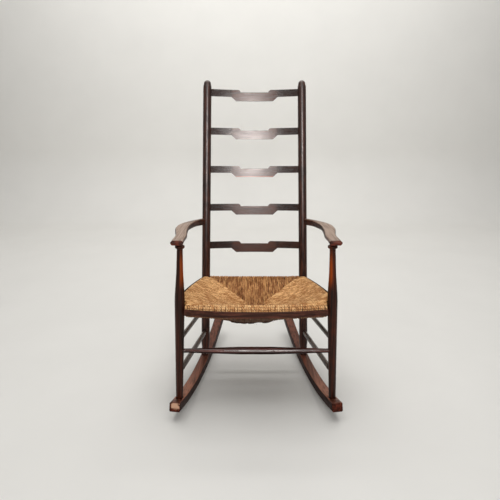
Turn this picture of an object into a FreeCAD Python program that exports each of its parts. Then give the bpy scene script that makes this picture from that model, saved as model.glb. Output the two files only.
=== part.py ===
import FreeCAD, Part
import Sketcher
import math
import os
import re

# Ladder-back rocking armchair with a rush seat.
# The chair faces -Y, +X is its left-to-right direction as seen from the front, +Z is up.
# While it is built, y is counted backwards from the front posts and z upwards from the floor.
# At the end everything is moved so that the origin is the bottom centre of the whole chair.

# Driving sizes, in millimetres and degrees
SIZES = [
    # front and back posts
    ("front_half", "250"),
    ("front_splay", "1.31"),
    ("seat_height", "365"),
    ("seat_drop", "31"),
    ("seat_depth", "386"),
    ("back_half", "197.6"),
    ("back_splay", "0.635"),
    ("back_rake", "6.2"),
    ("post_top_height", "1141"),
    ("socket_depth", "18"),
    ("front_foot_radius", "11.6"),
    ("front_swell_radius", "16.5"),
    ("front_swell_rise", "31"),
    ("front_shoulder_radius", "15.7"),
    ("front_shoulder_rise", "57"),
    ("front_waist_radius", "11.4"),
    ("front_waist_rise", "126"),
    ("front_neck_radius", "9.8"),
    ("bead_radius", "15.5"),
    ("bead_height", "14"),
    ("bead_slope", "4"),
    ("neck_drop", "24"),
    ("back_foot_radius", "11.6"),
    ("back_foot_rise", "50"),
    ("back_post_radius", "16.6"),
    ("dome_height", "26"),
    ("dome_radius", "14"),
    # rockers
    ("rocker_radius", "1163"),
    ("rocker_low", "235.9"),
    ("rocker_thickness", "30"),
    ("rocker_width", "36"),
    ("rocker_nose", "58"),
    ("rocker_tail", "642"),
    ("rocker_edge", "3"),
    # back slats
    ("slat_below_top", "47.8"),
    ("slat_pitch", "152.9"),
    ("slat_end", "27.8"),
    ("slat_middle", "35"),
    ("slat_step", "9.8"),
    ("slat_thick", "9"),
    ("slat_bend", "28"),
    ("slat_step_outer", "69"),
    ("slat_step_inner", "55.6"),
    ("slat_step_curve", "13"),
    ("slat_cove_outer", "94"),
    ("slat_cove_inner", "75"),
    ("slat_short", "4"),
    # arms
    ("arm_height", "594"),
    ("arm_drop", "15"),
    ("arm_front_thick", "16"),
    ("arm_back_thick", "25"),
    ("arm_corner", "5"),
    ("arm_tenon_radius", "6.5"),
    ("arm_bore_depth", "10"),
    # seat rails, rush and edge strips
    ("rail_height", "34"),
    ("rail_width", "16"),
    ("rail_corner", "7"),
    ("rail_inset", "4"),
    ("tenon_wide", "9"),
    ("tenon_tall", "14"),
    ("tenon_stagger", "8.5"),
    ("tenon_inset", "2.5"),
    ("rush_side", "6"),
    ("rush_top", "7"),
    ("side_rail_rise", "18"),
    ("side_rail_back_rise", "2"),
    ("seat_bow", "28"),
    ("side_bow", "9"),
    ("seat_sag", "69.5"),
    ("seat_droop", "68"),
    ("strip_tall", "21"),
    ("strip_thick", "6"),
    ("strip_edge", "1.6"),
    ("strip_drop", "1.5"),
    ("side_strip_rise", "5"),
    # stretchers
    ("upper_stretcher_height", "262"),
    ("upper_stretcher_drop", "27"),
    ("lower_stretcher_height", "149"),
    ("lower_stretcher_drop", "17"),
    ("side_tenon_radius", "6.2"),
    ("upper_stretcher_radius", "7.6"),
    ("lower_stretcher_radius", "8.8"),
    ("stretcher_inset", "3"),
    ("stretcher_plain", "18"),
    ("stretcher_taper", "10"),
    ("front_stretcher_height", "224"),
    ("front_stretcher_tenon", "6.8"),
    ("front_stretcher_radius", "12.2"),
    ("front_stretcher_middle", "110"),
    ("back_stretcher_height", "190"),
    ("back_stretcher_radius", "8.8"),
    ("joint_gap", "0.15"),
    ("shoulder_gap", "1"),
]

# Stations of the arm from front to back: where it lies; distance of its middle outwards of the line
# between the posts; width. The first kind lies behind the front post, the second at a share of the way
# to the back post, the third before the back post.
ARM_STATIONS = [
    ("arm_reach_a", "-22", "4.5", "40"),
    ("arm_reach_b", "10", "8.8", "39"),
    ("arm_share_c", "0.1454", "14.2", "38"),
    ("arm_share_d", "0.2593", "22.3", "38.5"),
    ("arm_share_e", "0.3781", "35.6", "42"),
    ("arm_share_f", "0.4968", "46.9", "46"),
    ("arm_share_g", "0.6001", "53.5", "45.5"),
    ("arm_share_h", "0.6970", "52.7", "42"),
    ("arm_share_i", "0.7794", "46.7", "35"),
    ("arm_share_j", "0.8837", "32.3", "24"),
    ("arm_before_k", "4", "2.5", "17"),
]

doc = FreeCAD.newDocument("rush_seat_rocking_chair")
sheet = doc.addObject("Spreadsheet::Sheet", "Sizes")
table = list(SIZES)
for spot_name, spot_size, outward, width in ARM_STATIONS:
    letter = spot_name[-1]
    table.append((spot_name, spot_size))
    table.append(("arm_outward_" + letter, outward))
    table.append(("arm_width_" + letter, width))
for row, (alias, text) in enumerate(table, start=1):
    cell = "A%d" % row
    sheet.set(cell, text)
    sheet.setAlias(cell, alias)
doc.recompute()
WORDS = {alias for alias, text in table}

gauge = doc.addObject("App::FeaturePython", "Gauge")
gauge.addProperty("App::PropertyFloat", "Reading")


def formula(text):
    """The formula with each size named by its cell in the sheet."""
    def cell_name(match):
        word = match.group(0)
        return "Sizes." + word if word in WORDS else word
    return re.sub(r"[a-z][a-z_]*", cell_name, text)


def reckon(text):
    """The present value of a formula."""
    gauge.setExpression("Reading", formula(text))
    gauge.recompute()
    return gauge.Reading


def bind(thing, path, text):
    """Binds one property of an object to a formula of the sheet's sizes."""
    thing.setExpression(path, formula(text))


def vector(x, y, z):
    return FreeCAD.Vector(x, y, z)


def place(base, rotation=None):
    return FreeCAD.Placement(base, rotation or FreeCAD.Rotation())


def along(start, end):
    """A frame at start whose z axis points to end and whose y axis points upwards."""
    forward = (end - start).normalize()
    across = vector(0, 0, 1).cross(forward).normalize()
    upward = forward.cross(across)
    return place(start, FreeCAD.Rotation(across, upward, forward, "ZXY"))


# The lines of the posts, as formulas of the height over the floor

def front_x(height):
    return "(front_half - (%s - seat_height) * tan(front_splay))" % height


def back_x(height):
    return "(back_half - (%s - seat_height + seat_drop) * tan(back_splay))" % height


def back_y(height):
    return "(seat_depth + (%s - seat_height + seat_drop) * tan(back_rake))" % height


def front_point(side, height):
    return vector(side * reckon(front_x(height)), 0, reckon(height))


def back_point(side, height):
    return vector(side * reckon(back_x(height)), reckon(back_y(height)), reckon(height))


def length_between(front_height, back_height):
    """Formula of the distance between the axes of a front post and the back post behind it."""
    across = "(%s - %s)" % (front_x(front_height), back_x(back_height))
    return "sqrt(%s^2 + %s^2 + (%s - %s)^2)" % (across, back_y(back_height), front_height, back_height)


def rocker_top(reach):
    """Formula of the height of the rocker's upper side, reach behind the front post."""
    return "(rocker_radius - sqrt((rocker_radius - rocker_thickness)^2 - (%s - rocker_low)^2))" % reach


# Sketch helpers

def pin(sketch, item, end, x_text, x_sign, y_text, y_sign):
    """Fixes one end of a line or arc at signed distances from the sketch's origin."""
    for kind, text, sign, axis in (("DistanceX", x_text, x_sign, -2), ("DistanceY", y_text, y_sign, -1)):
        if sign == 0:
            sketch.addConstraint(Sketcher.Constraint("PointOnObject", item, end, axis))
            continue
        size = reckon(text)
        if sign > 0:
            rule = Sketcher.Constraint(kind, -1, 1, item, end, size)
        else:
            rule = Sketcher.Constraint(kind, item, end, -1, 1, size)
        number = sketch.addConstraint(rule)
        bind(sketch, "Constraints[%d]" % number, text)


def outline(sketch, corners):
    """Draws a closed outline. A corner is x, its sign, y, its sign and the bend of the edge that
    follows: None for a straight edge, else the arc's radius and the side that it bulges to."""
    spots = []
    for x_text, x_sign, y_text, y_sign, bend in corners:
        x_size = x_sign * reckon(x_text) if x_sign else 0.0
        y_size = y_sign * reckon(y_text) if y_sign else 0.0
        spots.append(vector(x_size, y_size, 0))
    ends = []
    arcs = []
    for count, corner in enumerate(corners):
        first = spots[count]
        last = spots[(count + 1) % len(spots)]
        if corner[4] is None:
            item = sketch.addGeometry(Part.LineSegment(first, last))
            ends.append((item, 1, 2))
            continue
        radius_text, side = corner[4]
        radius = reckon(radius_text)
        chord = last - first
        half = chord.Length / 2
        rise = radius - math.sqrt(radius * radius - half * half)
        normal = vector(-chord.y, chord.x, 0).normalize() * side
        item = sketch.addGeometry(Part.Arc(first, first + chord * 0.5 + normal * rise, last))
        if (sketch.getPoint(item, 1) - first).Length < (sketch.getPoint(item, 2) - first).Length:
            ends.append((item, 1, 2))
        else:
            ends.append((item, 2, 1))
        arcs.append((item, radius_text))
    for count, (item, start, stop) in enumerate(ends):
        after, after_start, after_stop = ends[(count + 1) % len(ends)]
        sketch.addConstraint(Sketcher.Constraint("Coincident", item, stop, after, after_start))
    for (item, start, stop), corner in zip(ends, corners):
        pin(sketch, item, start, *corner[:4])
    for item, radius_text in arcs:
        number = sketch.addConstraint(Sketcher.Constraint("Radius", item, reckon(radius_text)))
        bind(sketch, "Constraints[%d]" % number, radius_text)


def body_sketch(body, name, role):
    """A sketch on one of the body's own origin planes."""
    sketch = body.newObject("Sketcher::SketchObject", name)
    plane = [item for item in body.Origin.OriginFeatures if item.Role == role][0]
    sketch.AttachmentSupport = (plane, [""])
    sketch.MapMode = "FlatFace"
    return sketch


def turned(name, stations):
    """A turned body around its z axis. A station is radius, height and the bend of the profile
    that follows it; the first lies on the height 0."""
    body = doc.addObject("PartDesign::Body", name)
    sketch = body_sketch(body, name + "_profile", "XZ_Plane")
    corners = [("0", 0, "0", 0, None)]
    for count, (radius, height, bend) in enumerate(stations):
        corners.append((radius, 0 if radius == "0" else 1, height, 0 if count == 0 else 1, bend))
    if stations[-1][0] != "0":
        corners.append(("0", 0, stations[-1][1], 1, None))
    outline(sketch, corners)
    spun = body.newObject("PartDesign::Revolution", name + "_turning")
    spun.Profile = sketch
    spun.ReferenceAxis = (sketch, ["V_Axis"])
    spun.Angle = 360
    return body


def eased_section(name, width, height, corner, facets):
    """A sketch of a rectangle, centred on its origin, whose corners are eased by one or two facets."""
    sketch = doc.addObject("Sketcher::SketchObject", name)
    half_width = "((%s) / 2)" % width
    half_height = "((%s) / 2)" % height
    flat_width = "((%s) / 2 - %s)" % (width, corner)
    flat_height = "((%s) / 2 - %s)" % (height, corner)
    round_width = "((%s) / 2 - %s * (1 - cos(45)))" % (width, corner)
    round_height = "((%s) / 2 - %s * (1 - cos(45)))" % (height, corner)
    corners = []
    for x_sign, y_sign in ((1, -1), (1, 1), (-1, 1), (-1, -1)):
        eased = [(flat_width, x_sign, half_height, y_sign, None)]
        if facets == 2:
            eased.append((round_width, x_sign, round_height, y_sign, None))
        eased.append((half_width, x_sign, flat_height, y_sign, None))
        corners += eased if x_sign != y_sign else reversed(eased)
    outline(sketch, corners)
    return sketch


def rod(name, radius, length, placement):
    """A cylinder along the z axis of its placement."""
    thing = doc.addObject("Part::Cylinder", name)
    bind(thing, "Radius", radius)
    bind(thing, "Height", length)
    thing.Placement = placement
    return thing


def block(name, sizes, placement):
    """A box from the origin of its placement."""
    thing = doc.addObject("Part::Box", name)
    for path, text in zip(("Length", "Width", "Height"), sizes):
        bind(thing, path, text)
    thing.Placement = placement
    return thing


def bar(name, section, length, placement):
    """A section drawn out along the z axis of its placement."""
    thing = doc.addObject("Part::Extrusion", name)
    thing.Base = section
    thing.DirMode = "Custom"
    thing.Dir = vector(0, 0, 1)
    thing.Solid = True
    bind(thing, "LengthFwd", length)
    thing.Placement = placement
    return thing


def joined(name, things):
    thing = doc.addObject("Part::MultiFuse", name)
    thing.Shapes = things
    return thing


def cut(name, base, tool):
    thing = doc.addObject("Part::Cut", name)
    thing.Base = base
    thing.Tool = tool
    return thing


PIECES = []


def finished(thing, label, placement=None):
    """Marks an object as one finished piece of the chair."""
    thing.Label = label
    if placement is not None:
        thing.Placement = placement
    PIECES.append(thing)
    return thing


SIDES = (("left", -1), ("right", 1))
UPPER_BACK = "(upper_stretcher_height - upper_stretcher_drop)"
LOWER_BACK = "(lower_stretcher_height - lower_stretcher_drop)"
BACK_SEAT = "(seat_height - seat_drop)"
SIDE_FRONT = "(seat_height + side_rail_rise)"
SIDE_BACK = "(seat_height - seat_drop + side_rail_back_rise)"
ARM_BACK = "(arm_height - arm_drop)"
FRONT_FOOT = "(%s - socket_depth)" % rocker_top("0")
BACK_FOOT_REACH = "(seat_depth - (seat_height - seat_drop - rocker_thickness) * tan(back_rake))"
BACK_FOOT = "(%s - socket_depth)" % rocker_top(BACK_FOOT_REACH)
SLAT_HEIGHTS = ["(post_top_height - slat_below_top - %d * slat_pitch)" % count for count in range(5)]
MORTISE_REACH = "(2 * back_post_radius)"

# How far behind the front post each station of the arm lies
ARM_REACH = {}
ARM_RULES = {"reach": "%s", "share": "(%%s * %s)" % back_y(ARM_BACK), "before": "(%s - %%s)" % back_y(ARM_BACK)}
for spot_name, *rest in ARM_STATIONS:
    kind = spot_name.split("_")[1]
    ARM_REACH[spot_name[-1]] = ARM_RULES[kind] % spot_name
LAST_LETTER = list(ARM_REACH)[-2]


def arm_share(letter):
    """Formula of a station's share of the way from the front post to the back post."""
    return "(%s / %s)" % (ARM_REACH[letter], back_y(ARM_BACK))


def arm_middle(letter):
    """Formula of the distance of a station's middle from the chair's middle plane."""
    front, back = front_x("arm_height"), back_x(ARM_BACK)
    return "(%s + (%s - %s) * %s + arm_outward_%s)" % (front, back, front, arm_share(letter), letter)


def arm_spot(side, letter):
    """The middle of a station of the arm, at the arm's height by the front post."""
    return vector(side * reckon(arm_middle(letter)), reckon(ARM_REACH[letter]), reckon("arm_height"))


def slat_place(height):
    """The frame of a slat: middle of the line between the posts, leaning with them."""
    lean = FreeCAD.Rotation(vector(1, 0, 0), -reckon("back_rake"))
    return place(vector(0, reckon(back_y(height)), reckon(height)), lean)


def slat_curve(height):
    """Formula of the radius to which a slat is bent."""
    return "((%s^2 + slat_bend^2) / (2 * slat_bend))" % back_x(height)


# Stretchers, turned with tapered ends

def stretcher(label, start, end, length, tenon, radius, taper):
    """A turned stretcher between two post axes; it stops short of them by the inset."""
    whole = "(%s - 2 * stretcher_inset)" % length
    body = turned(label + "_body", [
        (tenon, "0", None),
        (tenon, "stretcher_plain", None),
        (radius, "(stretcher_plain + %s)" % taper, None),
        (radius, "(%s - stretcher_plain - %s)" % (whole, taper), None),
        (tenon, "(%s - stretcher_plain)" % whole, None),
        (tenon, whole, None),
    ])
    frame = along(start, end)
    inset = frame.Rotation.multVec(vector(0, 0, reckon("stretcher_inset")))
    finished(body, label, place(start + inset, frame.Rotation))


for word, side in SIDES:
    for level, front, back in (
            ("upper", "upper_stretcher_height", UPPER_BACK), ("lower", "lower_stretcher_height", LOWER_BACK)):
        stretcher(
            "%s_%s_stretcher" % (word, level), front_point(side, front), back_point(side, back),
            length_between(front, back), "side_tenon_radius", level + "_stretcher_radius", "stretcher_taper")
FRONT_SPAN = "(2 * %s)" % front_x("front_stretcher_height")
stretcher(
    "front_stretcher", front_point(-1, "front_stretcher_height"), front_point(1, "front_stretcher_height"),
    FRONT_SPAN, "front_stretcher_tenon", "front_stretcher_radius",
    "((%s - front_stretcher_middle) / 2 - stretcher_inset - stretcher_plain)" % FRONT_SPAN)
stretcher(
    "back_stretcher", back_point(-1, "back_stretcher_height"), back_point(1, "back_stretcher_height"),
    "(2 * %s)" % back_x("back_stretcher_height"), "side_tenon_radius", "back_stretcher_radius",
    "stretcher_taper")

# Seat rails with square tenons, and the strips that cover the edges of the rush

BOW = "((front_half^2 + seat_bow^2) / (2 * seat_bow))"
BOW_MIDDLE = "(rail_inset - seat_bow + %s)" % BOW
RUSH_OUT = "(rail_width / 2 + rush_side)"
STRIP_OUT = "(%s + joint_gap + strip_thick / 2)" % RUSH_OUT
SLOPE = "atan(seat_drop / seat_depth)"
FRONT_STRIP_OUT = "(%s + (strip_drop + strip_tall / 2) * sin(%s))" % (STRIP_OUT, SLOPE)
BACK_STRIP_OUT = "(%s + (strip_tall / 2 - strip_drop) * sin(%s))" % (STRIP_OUT, SLOPE)
FRONT_SHOULDER = "(front_swell_radius + shoulder_gap)"
BACK_SHOULDER = "(back_post_radius + shoulder_gap)"
TENON_LENGTH = "(front_swell_radius + rail_width)"


def run_between(name, section, length, inset, lift, shoulders, bow):
    """A section carried from the first post to the last one, in the rail's frame: set inwards of the line
    between their axes, lifted, kept off each end by a shoulder, and bowed outwards if it has a bow."""
    first, last = shoulders
    if bow is None:
        spot = place(vector(reckon(inset), reckon(lift), reckon(first)))
        return bar(name, section, "(%s - %s - %s)" % (length, first, last), spot)
    curve = "(((%s / 2)^2 + %s^2) / (2 * %s))" % (length, bow, bow)
    bind(section, "Placement.Base.x", "%s - %s" % (inset, bow))
    bind(section, "Placement.Base.y", lift)
    thing = doc.addObject("Part::Revolution", name)
    thing.Source = section
    thing.Axis = vector(0, 1, 0)
    thing.Symmetric = True
    thing.Solid = True
    bind(section, "Placement.Base.z", "%s / 2" % length)
    bind(thing, "Base.x", "rail_inset - %s + %s" % (bow, curve))
    bind(thing, "Base.z", "%s / 2" % length)
    bind(thing, "Angle", "2 * asin((%s / 2 - max(%s; %s)) / %s)" % (length, first, last, curve))
    return thing


def side_rail(label, start, end, length, shoulders, lift, strip_out, strip_lift, bow):
    """A rail between two posts, set inwards of the line between their axes, with its strip."""
    frame = along(start, end)
    inward = place(vector(reckon("rail_inset"), 0, 0))
    section = eased_section(label + "_section", "rail_width", "rail_height", "rail_corner", 1)
    body = run_between(label + "_bar", section, length, "rail_inset", "0", shoulders, bow)
    tenons = []
    for count, rest in enumerate(("tenon_inset", "(%s - tenon_inset - %s)" % (length, TENON_LENGTH))):
        corner = vector(-reckon("tenon_wide / 2"), reckon("%s - tenon_tall / 2" % lift), reckon(rest))
        tenons.append(block(
            "%s_tenon_%d" % (label, count), ("tenon_wide", "tenon_tall", TENON_LENGTH),
            inward.multiply(place(corner))))
    whole = joined(label, [body] + tenons)
    strip_section = eased_section(label + "_strip_section", "strip_thick", "strip_tall", "strip_edge", 1)
    strip = run_between(
        label + "_strip_bar", strip_section, length, "rail_inset - %s" % strip_out, strip_lift, ("0", "0"), bow)
    posts = []
    for count, (shoulder, height) in enumerate(zip(shoulders, ("0", length))):
        middle = vector(0, -reckon("2 * rail_height"), reckon(height))
        upright = FreeCAD.Rotation(vector(1, 0, 0), -90)
        radius = shoulder + " - shoulder_gap + joint_gap"
        posts.append(rod("%s_post_%d" % (label, count), radius, "4 * rail_height", place(middle, upright)))
    return frame, whole, cut(label + "_strip", strip, joined(label + "_strip_tools", posts))


RAILS = {}
SIDE_LENGTH = length_between(SIDE_FRONT, SIDE_BACK)
# The local x axis of a rail's frame must point into the seat, so the left rail runs from the
# back to the front and the right rail from the front to the back.
RAIL_PLAN = (
    ("right_seat_rail", front_point(1, SIDE_FRONT), back_point(1, SIDE_BACK), SIDE_LENGTH,
     (FRONT_SHOULDER, BACK_SHOULDER), "tenon_stagger", STRIP_OUT, "side_strip_rise", "side_bow"),
    ("left_seat_rail", back_point(-1, SIDE_BACK), front_point(-1, SIDE_FRONT), SIDE_LENGTH,
     (BACK_SHOULDER, FRONT_SHOULDER), "tenon_stagger", STRIP_OUT, "side_strip_rise", "side_bow"),
    ("back_seat_rail", back_point(1, BACK_SEAT), back_point(-1, BACK_SEAT), "(2 * back_half)",
     (BACK_SHOULDER, BACK_SHOULDER), "(0 - tenon_stagger)", BACK_STRIP_OUT, "0 - strip_drop", None),
)
for label, *details in RAIL_PLAN:
    RAILS[label] = side_rail(label, *details)

# Front rail and strip: their sections carried round the bow of the seat

UPRIGHT = FreeCAD.Rotation(vector(0, 1, 0), vector(0, 0, 1), vector(1, 0, 0), "XYZ")


def bowed(name, section, reach, height, angle):
    """A section turned round the middle of the seat's bow."""
    section.Placement = place(vector(0, 0, 0), UPRIGHT)
    bind(section, "Placement.Base.y", reach)
    bind(section, "Placement.Base.z", height)
    thing = doc.addObject("Part::Revolution", name)
    thing.Source = section
    thing.Axis = vector(0, 0, 1)
    thing.Symmetric = True
    thing.Solid = True
    bind(thing, "Base.y", BOW_MIDDLE)
    bind(thing, "Angle", angle)
    return thing


front_bar = bowed(
    "front_rail_bar", eased_section("front_rail_section", "rail_width", "rail_height", "rail_corner", 1),
    "rail_inset - seat_bow", "0", "2 * asin((front_half - %s) / %s)" % (FRONT_SHOULDER, BOW))
front_tenons = []
for word, side in SIDES:
    start = "front_half - tenon_inset - " + TENON_LENGTH if side > 0 else "tenon_inset - front_half"
    corner = vector(
        reckon(start), reckon("rail_inset / 2 - tenon_wide / 2"), -reckon("tenon_stagger + tenon_tall / 2"))
    front_tenons.append(block(
        "front_rail_%s_tenon" % word, (TENON_LENGTH, "tenon_wide", "tenon_tall"), place(corner)))
front_strip = bowed(
    "front_strip_bar", eased_section("front_strip_section", "strip_thick", "strip_tall", "strip_edge", 1),
    "rail_inset - seat_bow - %s" % FRONT_STRIP_OUT, "0 - strip_drop",
    "2 * asin((front_half - %s) / (%s + %s))" % (FRONT_SHOULDER, BOW, FRONT_STRIP_OUT))
RAILS["front_seat_rail"] = (
    place(vector(0, 0, reckon("seat_height"))), joined("front_seat_rail", [front_bar] + front_tenons),
    front_strip)

for label, (frame, rail, strip) in RAILS.items():
    finished(rail, label, frame)
    finished(strip, label.split("_")[0] + "_edge_strip", frame)

# Posts: the turned body, bored for everything that enters it

def bore(name, centre, direction, inset, radius, frame):
    """A hole from near the post's axis outwards, in the post's own frame."""
    turn = FreeCAD.Rotation(vector(0, 0, 1), direction)
    start = centre + FreeCAD.Vector(direction).normalize() * reckon(inset + " - 2 * joint_gap")
    spot = frame.inverse().multiply(place(start, turn))
    return rod(name, radius + " + joint_gap", "4 * back_post_radius", spot)


MORTISE_SIZES = ("tenon_wide + 2 * joint_gap", "tenon_tall + 2 * joint_gap", MORTISE_REACH)


def mortise(name, label, lift, at_end, frame):
    """The hole for a straight rail's tenon, outwards from near the post's axis, in the post's own frame."""
    length = {"back_seat_rail": "2 * back_half"}.get(label, SIDE_LENGTH)
    inset = "tenon_inset - 2 * joint_gap"
    rest = "%s - (%s) - %s" % (length, inset, MORTISE_REACH) if at_end else inset
    corner = vector(
        reckon("rail_inset - tenon_wide / 2 - joint_gap"), reckon("%s - tenon_tall / 2 - joint_gap" % lift),
        reckon(rest))
    return block(name, MORTISE_SIZES, frame.inverse().multiply(RAILS[label][0].multiply(place(corner))))


for word, side in SIDES:
    # front post
    name = word + "_front_post"
    foot = front_point(side, FRONT_FOOT)
    head = front_point(side, "arm_height")
    frame = place(foot, FreeCAD.Rotation(vector(0, 0, 1), head - foot))
    arm_under = "(arm_height - arm_front_thick / 2 - %s)" % FRONT_FOOT
    bead_top = "(%s - shoulder_gap)" % arm_under
    bead_low = "(%s - bead_height)" % bead_top
    neck = "(%s - neck_drop + bead_height)" % bead_low
    swell = "(seat_height + front_swell_rise - %s)" % FRONT_FOOT
    body = turned(name + "_body", [
        ("front_foot_radius", "0", None),
        ("front_foot_radius", "socket_depth", None),
        ("front_swell_radius", swell, None),
        ("front_shoulder_radius", "(seat_height + front_shoulder_rise - %s)" % FRONT_FOOT, None),
        ("front_waist_radius", "(seat_height + front_waist_rise - %s)" % FRONT_FOOT, None),
        ("front_neck_radius", neck, None),
        ("front_neck_radius", bead_low, None),
        ("bead_radius", "(%s + bead_slope)" % bead_low, None),
        ("bead_radius", "(%s - bead_slope)" % bead_top, None),
        ("front_neck_radius", bead_top, None),
        ("front_neck_radius", "(%s + arm_bore_depth)" % arm_under, None),
    ])
    tools = []
    for count, (height, back_height, radius) in enumerate((
            ("upper_stretcher_height", UPPER_BACK, "side_tenon_radius"),
            ("lower_stretcher_height", LOWER_BACK, "side_tenon_radius"))):
        centre = front_point(side, height)
        tools.append(bore("%s_bore_%d" % (name, count), centre, back_point(side, back_height) - centre,
                          "stretcher_inset", radius, frame))
    centre = front_point(side, "front_stretcher_height")
    tools.append(bore(name + "_bore_front", centre, vector(-side, 0, 0), "stretcher_inset",
                      "front_stretcher_tenon", frame))
    inner_end = "front_half - tenon_inset + 2 * joint_gap"
    corner = vector(
        reckon("%s - %s" % (inner_end, MORTISE_REACH)) if side > 0 else -reckon(inner_end),
        reckon("rail_inset / 2 - tenon_wide / 2 - joint_gap"),
        reckon("seat_height - tenon_stagger - tenon_tall / 2 - joint_gap"))
    wide, tall, reach = MORTISE_SIZES
    tools.append(block(name + "_mortise_front", (reach, wide, tall), frame.inverse().multiply(place(corner))))
    rail = word + "_seat_rail"
    tools.append(mortise(name + "_mortise_side", rail, "tenon_stagger", side < 0, frame))
    finished(cut(name, body, joined(name + "_bores", tools)), name, frame)

    # back post
    name = word + "_back_post"
    foot = back_point(side, BACK_FOOT)
    head = back_point(side, "post_top_height")
    frame = place(foot, FreeCAD.Rotation(vector(0, 0, 1), head - foot))
    tall = "((post_top_height - %s) / cos(back_rake))" % BACK_FOOT
    body = turned(name + "_body", [
        ("back_foot_radius", "0", None),
        ("back_foot_radius", "socket_depth", None),
        ("back_post_radius", "(socket_depth + back_foot_rise)", None),
        ("back_post_radius", "(%s - dome_height)" % tall, None),
        ("dome_radius", "(%s - dome_radius)" % tall, ("dome_radius", -1)),
        ("0", tall, None),
    ])
    tools = []
    for count, (height, front_height) in enumerate((
            (UPPER_BACK, "upper_stretcher_height"), (LOWER_BACK, "lower_stretcher_height"))):
        centre = back_point(side, height)
        tools.append(bore("%s_bore_%d" % (name, count), centre, front_point(side, front_height) - centre,
                          "stretcher_inset", "side_tenon_radius", frame))
    centre = back_point(side, "back_stretcher_height")
    tools.append(bore(name + "_bore_back", centre, vector(-side, 0, 0), "stretcher_inset",
                      "side_tenon_radius", frame))
    tools.append(mortise(name + "_mortise_back", "back_seat_rail", "0 - tenon_stagger", side < 0, frame))
    tools.append(mortise(name + "_mortise_side", rail, "tenon_stagger", side > 0, frame))
    centre = back_point(side, ARM_BACK)
    before = arm_spot(side, LAST_LETTER)
    before.z = centre.z
    tools.append(bore(name + "_bore_arm", centre, before - centre, "tenon_inset", "arm_tenon_radius", frame))
    for count, height in enumerate(SLAT_HEIGHTS):
        turn = math.degrees(math.asin(reckon(back_x(height)) / reckon(slat_curve(height))))
        spot = slat_place(height).multiply(place(
            vector(side * reckon(back_x(height)), 0, 0), FreeCAD.Rotation(vector(0, 0, 1), -side * turn)))
        bottom = reckon("slat_short - shoulder_gap")
        low = vector(
            -bottom - reckon(MORTISE_REACH) if side > 0 else bottom,
            -reckon("slat_thick / 2 + joint_gap"), -reckon("slat_end / 2 + joint_gap"))
        spot = frame.inverse().multiply(spot.multiply(place(low)))
        tools.append(block("%s_mortise_%d" % (name, count),
                           (MORTISE_REACH, "slat_thick + 2 * joint_gap", "slat_end + 2 * joint_gap"), spot))
    finished(cut(name, body, joined(name + "_bores", tools)), name, frame)

# Back slats: a stepped outline taken out of a bent band

for count, height in enumerate(SLAT_HEIGHTS):
    name = "back_slat_%d" % (count + 1)
    sketch = doc.addObject("Sketcher::SketchObject", name + "_outline")
    half = "(%s - slat_short)" % back_x(height)
    end = "(slat_end / 2)"
    top = "(slat_end / 2 - slat_step)"
    low = "(slat_middle - slat_end / 2 + slat_step)"
    step = ("slat_step_curve", 1)
    outline(sketch, [
        (half, -1, end, 1, None),
        ("slat_step_outer", -1, end, 1, step),
        ("slat_step_inner", -1, top, 1, None),
        ("slat_step_inner", 1, top, 1, step),
        ("slat_step_outer", 1, end, 1, None),
        (half, 1, end, 1, None),
        (half, 1, end, -1, None),
        ("slat_cove_outer", 1, end, -1, None),
        ("slat_cove_inner", 1, low, -1, None),
        ("slat_cove_inner", -1, low, -1, None),
        ("slat_cove_outer", -1, end, -1, None),
        (half, -1, end, -1, None),
    ])
    sketch.Placement = place(vector(0, 0, 0), FreeCAD.Rotation(vector(1, 0, 0), 90))
    board = doc.addObject("Part::Extrusion", name + "_board")
    board.Base = sketch
    board.DirMode = "Custom"
    board.Dir = vector(0, 1, 0)
    board.Solid = True
    board.Symmetric = True
    bind(board, "LengthFwd", "4 * slat_bend + 4 * slat_thick")
    curve = slat_curve(height)
    outer = rod(name + "_outer", curve + " + slat_thick / 2", "6 * slat_middle", place(vector(0, 0, 0)))
    inner = rod(name + "_inner", curve + " - slat_thick / 2", "6 * slat_middle", place(vector(0, 0, 0)))
    for thing in (outer, inner):
        bind(thing, "Placement.Base.y", "slat_bend - " + curve)
        bind(thing, "Placement.Base.z", "0 - 3 * slat_middle")
    band = cut(name + "_band", outer, inner)
    slat = doc.addObject("Part::Common", name)
    slat.Base = board
    slat.Tool = band
    finished(slat, name, slat_place(height))

# Arms: lofted through eased sections, coped to the back post and bored for the front post

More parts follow.
